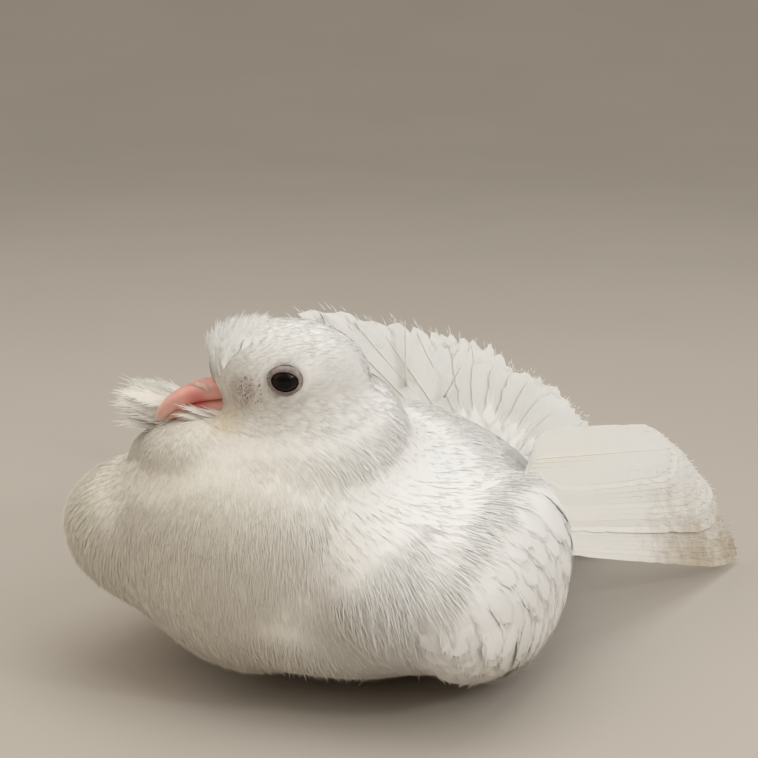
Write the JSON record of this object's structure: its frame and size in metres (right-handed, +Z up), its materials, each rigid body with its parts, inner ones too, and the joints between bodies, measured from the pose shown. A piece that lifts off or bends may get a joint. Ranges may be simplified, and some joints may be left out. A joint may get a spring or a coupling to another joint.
{
  "type": "fantail pigeon model",
  "caption": "Still life-size model of a white fantail pigeon resting on its belly, head turned to its right, wings low, worn tail fan raised.",
  "frame": {"origin": "middle of the belly's flat, at floor level", "axes": "+Z up, -Y the way the breast faces, +X towards the bird's left side"},
  "size_m": [0.144, 0.1749, 0.0903],
  "materials": {
    "plumage": "matte",
    "flight_feathers": "satin",
    "bill_horn": "satin",
    "cere_skin": "matte",
    "eye_glass": "gloss",
    "foot_skin": "matte"
  },
  "bodies": {
    "root": {"bill_lower": "bill_horn", "bill_upper": "bill_horn", "cere": "cere_skin", "eye_left": "eye_glass", "eye_right": "eye_glass", "foot_left": "foot_skin", "foot_right": "foot_skin", "head": "plumage", "neck": "plumage", "tail_coverts_under": "plumage", "tail_coverts_upper": "plumage", "tail_fan_left": "flight_feathers", "tail_fan_right": "flight_feathers", "torso": "plumage", "wing_left_coverts": "plumage", "wing_left_primaries": "flight_feathers", "wing_left_secondaries": "flight_feathers", "wing_right_coverts": "plumage", "wing_right_primaries": "flight_feathers", "wing_right_secondaries": "flight_feathers"}
  },
  "joints": []
}
